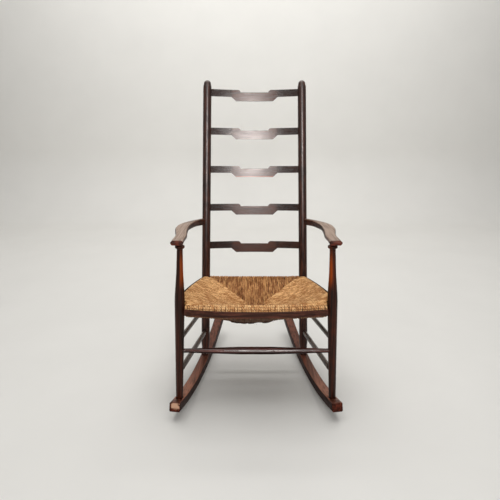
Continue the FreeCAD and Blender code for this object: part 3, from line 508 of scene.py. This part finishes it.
# Pieces whose edges are shaded as eased, the gap in metres that counts as joined, and the flat faces' weight
EASED = ("arm", "rocker", "edge_strip")
JOINED_GAP = 0.00002
FLAT_WEIGHT = 80
for label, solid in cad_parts.items():
    for word, material in FINISHES.items():
        if word in label:
            solid.data.materials.clear()
            solid.data.materials.append(material)
    if any(word in label for word in EASED):
        weld = solid.modifiers.new("joined_faces", "WELD")
        weld.merge_threshold = JOINED_GAP
        soft = solid.modifiers.new("eased_edges", "WEIGHTED_NORMAL")
        soft.weight = FLAT_WEIGHT
        soft.keep_sharp = False


# Rush

# How fast furrows wind along a strand, and how far the strands' tones set their patterns apart
WINDING = 62.0
STRANDS_APART = 90.0
RUSH_ROUGHNESS = 0.66
RUSH_SHINE = 0.15
# Painted shade under the seat: how much of its dark tone the lower skin takes, and that tone
UNDER_SHADE_SHARE = 0.95
UNDER_SHADE = linear(72, 41, 22)
# Grain of the streaks where strands run across the seat, and where they run along it
ACROSS = (24.0, 105.0, 60.0)
LENGTHWAYS = (170.0, 18.0, 60.0)


def rush_material(name, pale, ripe, shadow, grain, twist, slant, wander, run=62.0, lit_roll_tones=None):
    """Twisted rush in pale and ripe straw: streaks and clouds that run over several strands, ripe dashes and
    fine fibres along each strand in a pattern of its own, furrows darkened with painted shade that wind
    around it, and painted shade on the skin under the seat. grain stretches the streaks. twist is the depth
    of the furrows, slant how they turn around the strand and wander how they stray. run sets how often the
    tone changes along a strand. rolled gives other, paler pale and ripe tones from the crest of the roll on:
    painted light on the roll."""
    material, tree, shader = new_material(name)
    along = node(tree, "ShaderNodeUVMap", {"uv_map": "along"}).outputs[0]
    place = object_place(tree)
    tone = node(tree, "ShaderNodeAttribute", {"attribute_name": "tone"}).outputs["Fac"]
    under = node(tree, "ShaderNodeAttribute", {"attribute_name": "under"}).outputs["Fac"]
    length = part_of(tree, along, "x")
    turn = part_of(tree, along, "y")
    # Painted light: from the crest of the roll on, paler tones stand in for the light that falls on the roll
    if lit_roll_tones:
        past = ramp(tree, length, -0.014, -0.004)
        pale = mixed(tree, past, pale, lit_roll_tones[0])
        ripe = mixed(tree, past, ripe, lit_roll_tones[1])
    apart = reckoned(tree, "MULTIPLY", tone, STRANDS_APART)
    own = node(tree, "ShaderNodeCombineXYZ", None, X=length, Y=turn, Z=apart).outputs[0]
    stray = noise(tree, place, scale=60.0, detail=2.0)
    wound = reckoned(
        tree, "ADD", reckoned(tree, "MULTIPLY", length, WINDING), reckoned(tree, "MULTIPLY", turn, slant))
    wound = reckoned(tree, "ADD", wound, reckoned(tree, "MULTIPLY", stray, wander))
    wave = reckoned(tree, "PINGPONG", wound, 0.25)
    furrow = ramp(tree, wave, 0.02, 0.13, 1.0, 0.0)
    fibres = noise(tree, own, scale=1.0, detail=5.0, roughness=0.65, stretch=(2.6 * run, 5.0, 1.0))
    dashes = noise(tree, own, scale=1.0, detail=3.0, roughness=0.6, stretch=(run, 0.8, 1.0))
    breaks = noise(tree, own, scale=1.0, detail=2.0, roughness=0.5, stretch=(40.0, 0.5, 1.0))
    streaks = noise(tree, place, scale=1.0, detail=4.0, roughness=0.65, stretch=grain)
    clouds = noise(tree, place, scale=24.0, detail=3.0)
    colour = mixed(tree, ramp(tree, streaks, 0.40, 0.60), ripe, pale)
    colour = mixed(tree, ramp(tree, clouds, 0.42, 0.62, 0.0, 0.6), colour, pale)
    colour = mixed(tree, ramp(tree, dashes, 0.46, 0.58, 0.0, 0.85), colour, ripe)
    colour = mixed(tree, ramp(tree, fibres, 0.52, 0.68, 0.0, 0.8), colour, pale)
    colour = mixed(tree, ramp(tree, fibres, 0.46, 0.32, 0.0, 0.7), colour, shadow)
    broken = ramp(tree, breaks, 0.35, 0.60, 0.45, 1.0)
    colour = mixed(tree, product(tree, furrow, broken, twist), colour, shadow)
    # Painted shade: strands darken where they run under the seat
    colour = mixed(tree, product(tree, under, UNDER_SHADE_SHARE), colour, UNDER_SHADE)
    tree.links.new(colour, shader.inputs["Base Color"])
    shader.inputs["Roughness"].default_value = RUSH_ROUGHNESS
    shader.inputs["Specular IOR Level"].default_value = RUSH_SHINE
    ridges = node(
        tree, "ShaderNodeBump", {"invert": True}, Strength=0.7 * twist, Distance=0.0010, Height=furrow)
    hairs = node(
        tree, "ShaderNodeBump", None, Strength=0.5, Distance=0.0006, Height=fibres, Normal=ridges.outputs[0])
    tree.links.new(hairs.outputs[0], shader.inputs["Normal"])
    return material


side_rush = rush_material(
    "side_rush", pale=linear(238, 190, 132), ripe=linear(168, 112, 62), shadow=linear(116, 70, 36),
    grain=ACROSS, twist=0.3, slant=1.0, wander=0.9)
# The front and back strands take darker tones than the side strands: partly their own colour, partly painted
# shade
end_rush = rush_material(
    "end_rush", pale=linear(211, 157, 100), ripe=linear(132, 80, 43), shadow=linear(78, 42, 22),
    grain=LENGTHWAYS, twist=0.6, slant=1.0, wander=0.5, run=20.0)
# On the front roll, paler tones from the crest on paint the light that falls on it
front_rush = rush_material(
    "front_rush", pale=linear(214, 166, 108), ripe=linear(140, 88, 50), shadow=linear(84, 46, 24),
    grain=LENGTHWAYS, twist=0.8, slant=0.5, wander=0.35,
    lit_roll_tones=(linear(234, 190, 136), linear(190, 135, 85)))
# Painted shade: dark tones for the stuffing and the strands that hang under the seat
shaded_under_rush = rush_material(
    "shaded_under_rush", pale=linear(62, 38, 22), ripe=linear(40, 23, 13), shadow=linear(20, 12, 7),
    grain=LENGTHWAYS, twist=0.5, slant=1.0, wander=0.6)


# Form of the rush seat

def axis_x(u):
    """Distance of a side rail's middle line from the middle of the seat: it falls evenly to the back, with a
    shallow outward bow."""
    bow = SIDE_BOW * (1.0 - (2.0 * u / SEAT_DEPTH - 1.0) ** 2)
    return FRONT_AXIS - AXIS_FALL * u / SEAT_DEPTH + bow


def front_u(x):
    """Place of the bowed front rail's middle line: an arc round a point far behind it."""
    return BOW_MIDDLE - np.sqrt(BOW_RADIUS ** 2 - x ** 2)


def plane_z(u):
    """Height of the front and back rails' middle lines: it falls evenly to the back."""
    return SEAT_HEIGHT - SEAT_DROP * u / SEAT_DEPTH


def crosswise(x, u):
    """Distance from the middle of the seat as a share of a side rail's, up to 1."""
    return np.minimum(np.abs(x) / axis_x(u), 1.0)


def lengthwise(x, u):
    """Place between the front rail and the back rail, from -1 to 1."""
    front = front_u(x)
    return np.clip(2.0 * (u - front) / (BACK_LINE - front) - 1.0, -1.0, 1.0)


def at_front(x, u, power):
    """One at the front rail, falling by a power to nothing halfway to the back rail."""
    return np.clip(-lengthwise(x, u), 0.0, 1.0) ** power


def bowl(across, along, power):
    """Share of a sag: one less the distance from the middle to a power, across times along."""
    return (1.0 - across ** power) * (1.0 - np.abs(along) ** power)


def front_crown(x):
    """How far the front roll rises over the rails' plane: most in the middle."""
    return FRONT_CROWN + FRONT_SWELL * (1.0 - (x / FRONT_AXIS) ** 2)


def side_lift(x, u):
    """How far a side roll stands over the rails' plane: it falls to the back, and ends at the front roll."""
    rise = SIDE_RISE + (SIDE_BACK_RISE - SIDE_RISE) * u / SEAT_DEPTH
    return rise * (1.0 - at_front(x, u, SIDE_END_POWER))


def top_z(x, u):
    """Height of the seat's upper skin: the crown of the rolls, higher along the sides, less the sag."""
    across = crosswise(x, u)
    crown = CROWN + side_lift(x, u) * across ** SIDE_POWER
    crown = crown + (front_crown(x) - CROWN) * at_front(x, u, FRONT_POWER)
    return plane_z(u) + crown - SAG * bowl(across, lengthwise(x, u), SAG_POWER)


def low_z(x, u):
    """Height of the seat's lower skin: a crown below the rails' plane, less the droop, whose deepest line
    lies a little to the left of the middle."""
    reach = np.where(x > DROOP_MIDDLE, axis_x(u) - DROOP_MIDDLE, axis_x(u) + DROOP_MIDDLE)
    across = np.minimum(np.abs(x - DROOP_MIDDLE) / reach, 1.0)
    return plane_z(u) - CROWN - DROOP * bowl(across, lengthwise(x, u), DROOP_POWER) ** DROOP_FOCUS


def follow_front(x, row):
    """Shift of a row of the sides against its outer end: rows near the front follow the front rail's bow."""
    near = np.clip(1.0 - row / FOLLOW_REACH, 0.0, 1.0) ** 2
    return (front_u(x) - front_u(FRONT_AXIS)) * near


# Strands of the rush seat

def unit(ways):
    """Directions brought to a length of one."""
    return ways / np.linalg.norm(ways, axis=2, keepdims=True)


def strand_rings(centre, side_way, radius):
    """Points around strands. centre holds points by strand and station, side_way the direction in which the
    strands lie side by side. The section is a flattened ring whose two lobes wind along the strand. Lengths
    along the strands are counted from the crest of the roll."""
    out = unit(np.cross(unit(np.gradient(centre, axis=1)), side_way))
    steps = np.linalg.norm(np.diff(centre, axis=1), axis=2)
    lengths = np.concatenate([np.zeros((len(centre), 1)), np.cumsum(steps, axis=1)], axis=1)
    lengths -= lengths[:, TOP_STATIONS - 1:TOP_STATIONS]
    angle = np.linspace(0.0, 2.0 * np.pi, SIDES, endpoint=False)
    winding = 2.0 * angle[None, None, :] + lengths[:, :, None] * (2.0 * np.pi / LOBE_LENGTH)
    size = radius[:, None, None] * (1.0 + LOBE_DEPTH * np.cos(winding))
    across = size * np.cos(angle) * STRAND_WIDE
    above = size * np.sin(angle) * STRAND_HIGH
    rings = centre[:, :, None, :] + across[..., None] * side_way + above[..., None] * out[:, :, None, :]
    return rings, lengths


def wobble(count, depth):
    """A small wander of each strand along its stations: two sine waves of random phase and pace."""
    share = np.linspace(0.0, 1.0, STATIONS)[None, :]
    phase = rng.uniform(0.0, 2.0 * np.pi, (count, 2))
    pace = rng.uniform(1.0, 4.5, (count, 2))
    return depth * 0.5 * (
        np.sin(2 * np.pi * pace[:, :1] * share + phase[:, :1])
        + np.sin(2 * np.pi * pace[:, 1:] * share + phase[:, 1:]))


def strand_path(start, edge, roll, top, low, radius, outward, dive=DIVE):
    """Path of strands that come up at a seam, run out over the roll of a rail and back under it to the seam.
    It goes from start to edge along the upper skin, round half an ellipse, and back along the lower skin.
    start, edge and radius are arrays by strand. roll holds the height of the ellipse's middle, its rise and
    its fall. top and low give the skins' heights, and outward is the roll's side. The strand dives at the
    seam. Returns the distance along the run and the height."""
    middle, rise, fall = roll
    share = np.linspace(0.0, 1.0, TOP_STATIONS)[None, :]
    run_top = start[:, None] + (edge - start)[:, None] * share
    angle = np.linspace(0.5 * np.pi, -0.5 * np.pi, ROLL_STATIONS + 2)[1:-1][None, :]
    run_roll = edge[:, None] + outward * (ROLL - radius)[:, None] * np.cos(angle)
    tall = np.where(np.sin(angle) >= 0.0, (rise - radius)[:, None], (fall - radius)[:, None])
    z_roll = middle[:, None] + tall * np.sin(angle)
    share_low = np.linspace(1.0, 0.0, LOW_STATIONS)[None, :]
    run_low = start[:, None] + (edge - start)[:, None] * share_low
    z_top = top(run_top) - radius[:, None]
    z_low = low(run_low) + radius[:, None]
    sink = dive * np.clip(1.0 - np.abs(run_top - start[:, None]) / DIVE_REACH, 0.0, 1.0) ** 2
    lift = dive * np.clip(1.0 - np.abs(run_low - start[:, None]) / DIVE_REACH, 0.0, 1.0) ** 2
    run = np.concatenate([run_top, run_roll, run_low], axis=1)
    height = np.concatenate([z_top - sink, z_roll, z_low + lift], axis=1)
    return run, height


def strand_sizes(count, pitch, fullness):
    """Random radii and tones of strands."""
    radius = fullness * pitch * rng.uniform(*RADIUS_SPREAD, count)
    tone = rng.uniform(0.0, 1.0, count)
    return radius, tone


def side_panel(name, side):
    """The strands over one side rail, which run across the seat to the seams."""
    u = np.arange(FIRST_ROW, LAST_ROW, SIDE_PITCH)
    count = len(u)
    radius, tone = strand_sizes(count, SIDE_PITCH, SIDE_FULLNESS)
    bent = APEX_REACH * (u / APEX_REACH) ** (1.0 / SEAM_BEND)
    seam = np.where(u < APEX_REACH, FRONT_SEAM - bent, u - BACK_SEAM)
    start = np.maximum(seam - SEAM_LAP + rng.normal(0.0, SEAM_RAG, count), APEX - APEX_LAP)
    beside_post = FRONT_SEAM - np.sqrt(np.clip(POST_CLEAR ** 2 - u ** 2, 0.0, None)) - ROLL
    edge = np.where(u < POST_CLEAR, np.minimum(beside_post, axis_x(u)), axis_x(u))
    raised = side_lift(side * edge, u)
    crest = top_z(side * edge, u)
    middle = plane_z(u) + raised
    roll = (middle, crest - middle, CROWN + raised)
    row = u[:, None]
    run, height = strand_path(
        start, edge, roll, lambda x: top_z(side * x, row + follow_front(x, row)),
        lambda x: low_z(side * x, row + follow_front(x, row)), radius, 1.0)
    wander = row + follow_front(run, row) + wobble(count, depth=1.3)
    centre = np.stack([side * run, wander + FRONT_POST_Y, height + wobble(count, depth=0.8)], axis=-1)
    rings, lengths = strand_rings(centre, np.array([0.0, -side, 0.0]), radius)
    return tube_piece(name, rings, tone, lengths, UNDER, side_rush)


def end_panel(name, back):
    """The strands over the front or back rail, which run along the seat to the seams."""
    half = np.arange(APEX + 0.5 * END_PITCH, BACK_WIDTH if back else FRONT_WIDTH, END_PITCH)
    x = np.concatenate([-half[::-1], half])
    count = len(x)
    radius, tone = strand_sizes(count, END_PITCH, END_FULLNESS)
    loose = rng.normal(0.0, SEAM_RAG, count)
    if back:
        start = np.abs(x) + BACK_SEAM - SEAM_LAP + loose
        edge = np.full(count, BACK_LINE)
        outward = 1.0
        rise = np.full(count, CROWN)
    else:
        row = APEX_REACH * ((FRONT_SEAM - np.abs(x)) / APEX_REACH) ** SEAM_BEND
        start = row + follow_front(x, row) + FRONT_LAP + np.abs(loose)
        edge = front_u(x)
        outward = -1.0
        rise = front_crown(x)
    roll = (plane_z(edge), rise, np.full(count, CROWN))
    wander = x[:, None] + wobble(count, depth=1.1)
    run, height = strand_path(
        start, edge, roll, lambda u: top_z(x[:, None], u), lambda u: low_z(x[:, None], u), radius, outward)
    centre = np.stack([wander, run + FRONT_POST_Y, height + wobble(count, depth=0.6)], axis=-1)
    rings, lengths = strand_rings(centre, np.array([outward, 0.0, 0.0]), radius)
    return tube_piece(name, rings, tone, lengths, UNDER, end_rush if back else front_rush)


def middle_panel(name):
    """The strands of the middle, which run from the front rail to the back rail, above and below. Each half
    runs from where the halves meet out over its rail and back."""
    rows = np.linspace(-APEX, APEX, 2 * MIDDLE_STRANDS + 1)
    x = rows[1::2]
    radius, tone = strand_sizes(MIDDLE_STRANDS, END_PITCH, MIDDLE_FULLNESS)
    meeting = np.full(MIDDLE_STRANDS, MEETING)
    wander = x[:, None] + wobble(MIDDLE_STRANDS, depth=0.8)
    fall = np.full(MIDDLE_STRANDS, CROWN)
    back_edge = np.full(MIDDLE_STRANDS, BACK_LINE)
    ends = (
        ("front", front_u(x), front_crown(x), -1.0, front_rush),
        ("back", back_edge, fall, 1.0, end_rush),
    )
    pieces = []
    for word, edge, rise, outward, rush in ends:
        run, height = strand_path(
            meeting, edge, (plane_z(edge), rise, fall), lambda u: top_z(x[:, None], u),
            lambda u: low_z(x[:, None], u), radius, outward, dive=0.0)
        centre = np.stack([wander, run + FRONT_POST_Y, height], axis=-1)
        rings, lengths = strand_rings(centre, np.array([outward, 0.0, 0.0]), radius)
        pieces.append(tube_piece("%s_%s" % (name, word), rings, tone, lengths, UNDER, rush))
    return pieces


def stuffing(name):
    """The stuffing between the upper and lower strands, dark with painted shade: loops around the seat from
    front to back, each as wide as the rails stand and as high as the skins less a strand, pinched at the
    front and back."""
    share = np.linspace(0.0, 1.0, STUFFING_STATIONS)[None, :, None]
    angle = np.linspace(0.0, 2.0 * np.pi, STUFFING_SIDES, endpoint=False)[None, None, :]
    across = np.sign(np.cos(angle)) * np.abs(np.cos(angle)) ** 0.6
    rough_u = BACK_LINE * share
    x = across * (axis_x(rough_u) - 1.0)
    u = front_u(x) + (BACK_LINE - front_u(x)) * share
    pinch = (1.0 - np.abs(2.0 * share - 1.0) ** 6) ** 0.5
    swell = np.abs(np.sin(angle)) ** 0.5 * pinch
    high = top_z(x, u) - plane_z(u) - STUFFING_INSET
    deep = low_z(x, u) - plane_z(u) + STUFFING_INSET
    z = plane_z(u) + np.where(np.sin(angle) >= 0.0, high, deep) * swell
    rings = np.stack(np.broadcast_arrays(x, u + FRONT_POST_Y, z), axis=-1)
    lengths = share[:, :, 0] * BACK_LINE
    return tube_piece(
        name, rings[:, ::-1], np.array([0.3]), lengths, np.zeros(STUFFING_STATIONS), shaded_under_rush)


def hanging_piece(name, centre, size, sides, lengths):
    """A piece of free strands that hang under the seat. centre holds points by strand and station, size the
    radius there; rings of so many sides stand square to each strand. Tones are random, within dark tones
    that paint the shade under the seat."""
    count, stations = size.shape
    way = unit(np.gradient(centre, axis=1))
    aside = unit(np.cross(way, np.array([0.31, 0.92, 0.24])))
    out = np.cross(way, aside)
    angle = np.linspace(0.0, 2.0 * np.pi, sides, endpoint=False)
    rings = centre[:, :, None, :] + (size[:, :, None] * np.cos(angle))[..., None] * aside[:, :, None, :]
    rings = rings + (size[:, :, None] * np.sin(angle))[..., None] * out[:, :, None, :]
    tone = rng.uniform(0.0, 1.0, count)
    lengths = np.broadcast_to(lengths, (count, stations))
    return tube_piece(name, rings, tone, lengths, np.zeros(stations), shaded_under_rush)


def slack_strands(name):
    """Slack, broken strands under the middle of the seat: thick cords that hang from the lower skin in
    shallow loops, each a parabola across the seat, swelling and thinning along its length."""
    count = 64
    x = rng.normal(-30.0, 42.0, count).clip(-118.0, 62.0)
    u = rng.uniform(110.0, 250.0, count)
    half = rng.uniform(12.0, 34.0, count)
    drop = rng.uniform(2.0, 8.0, count)
    skew = rng.normal(0.0, 14.0, count)
    stations = 13
    share = np.linspace(-1.0, 1.0, stations)[None, :]
    across = x[:, None] + half[:, None] * share
    reach = u[:, None] + skew[:, None] * share
    height = low_z(across, reach) + ROOT_INSET - drop[:, None] * (1.0 - share ** 2)
    centre = np.stack([across, reach + FRONT_POST_Y, height], axis=-1)
    pace = rng.uniform(2.0, 6.0, (count, 1))
    phase = rng.uniform(0.0, 6.0, (count, 1))
    lumps = 1.0 + 0.25 * np.sin(pace * share + phase)
    size = rng.uniform(2.2, 4.4, count)[:, None] * lumps * (1.0 - 0.6 * share ** 4)
    return hanging_piece(name, centre, size, sides=7, lengths=50.0 * share)


def loose_ends(name):
    """Broken ends that hang under the middle of the seat: each a thin tapered tube that leaves the lower
    skin and bends down by a power of its length and sideways along a parabola."""
    count = 70
    x = rng.normal(-25.0, 46.0, count).clip(-120.0, 66.0)
    u = rng.uniform(100.0, 270.0, count)
    drop = rng.uniform(3.0, 11.0, count)
    lean = rng.normal(0.0, 12.0, (count, 2))
    stations = 7
    share = np.linspace(0.0, 1.0, stations)[None, :]
    base = low_z(x, u) + ROOT_INSET
    centre = np.stack([
        x[:, None] + lean[:, :1] * share ** 2 + 9.0 * np.sign(lean[:, :1]) * share,
        u[:, None] + FRONT_POST_Y + lean[:, 1:] * share ** 2,
        base[:, None] - drop[:, None] * share ** 1.6], axis=-1)
    size = rng.uniform(0.9, 2.0, count)[:, None] * (1.0 - 0.7 * share)
    return hanging_piece(name, centre, size, sides=5, lengths=40.0 * share)


rush_pieces = [
    side_panel("rush_left", -1.0),
    side_panel("rush_right", 1.0),
    end_panel("rush_front", False),
    end_panel("rush_back", True),
    *middle_panel("rush_middle"),
    stuffing("rush_stuffing"),
    slack_strands("rush_slack_strands"),
    loose_ends("rush_loose_ends"),
]
for piece in rush_pieces:
    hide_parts("rush_seat")


# Floor, backdrop, lights and camera, in metres

WALL_Y = 3.4
WALL_TOP = 4.5
FLOOR_FRONT = -7.0
FLOOR_HALF_WIDTH = 6.0
COVE = 0.7
COVE_STEPS = 16


def plain_material(name, colour, roughness):
    """A plain, faintly mottled surface for the floor and the backdrop."""
    material, tree, shader = new_material(name)
    mottle = noise(tree, object_place(tree), scale=3.0, detail=4.0)
    darker = tuple(0.93 * value for value in colour[:3]) + (1.0,)
    tree.links.new(mixed(tree, mottle, colour, darker), shader.inputs["Base Color"])
    shader.inputs["Roughness"].default_value = roughness
    return material


def sweep(name):
    """Floor and wall in one sheet: a profile that runs back along the floor, turns up in a quarter circle
    and climbs, carried straight across."""
    bend = np.linspace(0.0, 0.5 * np.pi, COVE_STEPS)
    y = np.concatenate([[FLOOR_FRONT], WALL_Y - COVE + COVE * np.sin(bend), [WALL_Y]])
    z = np.concatenate([[0.0], COVE - COVE * np.cos(bend), [WALL_TOP]])
    x = np.array([-FLOOR_HALF_WIDTH, FLOOR_HALF_WIDTH])
    points = np.stack(np.broadcast_arrays(x[:, None], y[None, :], z[None, :]), axis=-1).reshape(-1, 3)
    row = np.arange(len(y) - 1)
    quads = np.stack([row, row + len(y), row + len(y) + 1, row + 1], axis=-1)
    mesh = bpy.data.meshes.new(name)
    mesh.from_pydata(points, [], quads.tolist())
    mesh.shade_smooth()
    sheet = bpy.data.objects.new(name, mesh)
    bpy.context.scene.collection.objects.link(sheet)
    mesh.materials.append(plain_material("pale_studio", linear(232, 230, 225), 0.85))


def soft_light(name, place, target, width, height, power, spread=180.0):
    """A rectangular soft light that looks at a point and fans out over a spread in degrees."""
    lamp = bpy.data.lights.new(name, "AREA")
    lamp.shape = "RECTANGLE"
    lamp.size = width
    lamp.size_y = height
    lamp.energy = power
    lamp.spread = math.radians(spread)
    holder = bpy.data.objects.new(name, lamp)
    bpy.context.scene.collection.objects.link(holder)
    way = np.array(target) - np.array(place)
    flat = math.hypot(way[0], way[1])
    holder.location = place
    holder.rotation_euler = (math.atan2(flat, -way[2]), 0.0, math.atan2(-way[0], way[1]))


sweep("studio_sweep")
soft_light(
    "front_panel", place=(0.20, -4.3, 1.57), target=(0.0, 0.0, 0.8), width=1.3, height=0.95, power=22.5,
    spread=90.0)
soft_light(
    "wall_panel", place=(0.0, 1.9, 3.6), target=(0.0, WALL_Y, 0.9), width=5.0, height=0.8, power=66.0)
soft_light(
    "ceiling_panel", place=(0.0, -0.6, 3.2), target=(0.0, -0.2, 0.0), width=3.2, height=3.0, power=62.0)
world = bpy.data.worlds.new("studio")
world.use_nodes = True
background = world.node_tree.nodes["Background"]
background.inputs["Color"].default_value = (1.0, 0.99, 0.97, 1.0)
background.inputs["Strength"].default_value = 0.18
bpy.context.scene.world = world
bpy.context.scene.view_settings.view_transform = "Standard"

# Camera at the photograph's angle, looking down by a tilt in degrees
TILT = 8.764
lens = bpy.data.cameras.new("photo_camera")
lens.lens = 34.56
lens.sensor_width = 36.0
lens.shift_x = 0.004
lens.shift_y = -0.10
camera = bpy.data.objects.new("photo_camera", lens)
camera.location = (-0.0264, -1.7895, 0.9603)
camera.rotation_euler = (math.radians(90.0 - TILT), 0.0, 0.0)
bpy.context.scene.collection.objects.link(camera)
bpy.context.scene.camera = camera
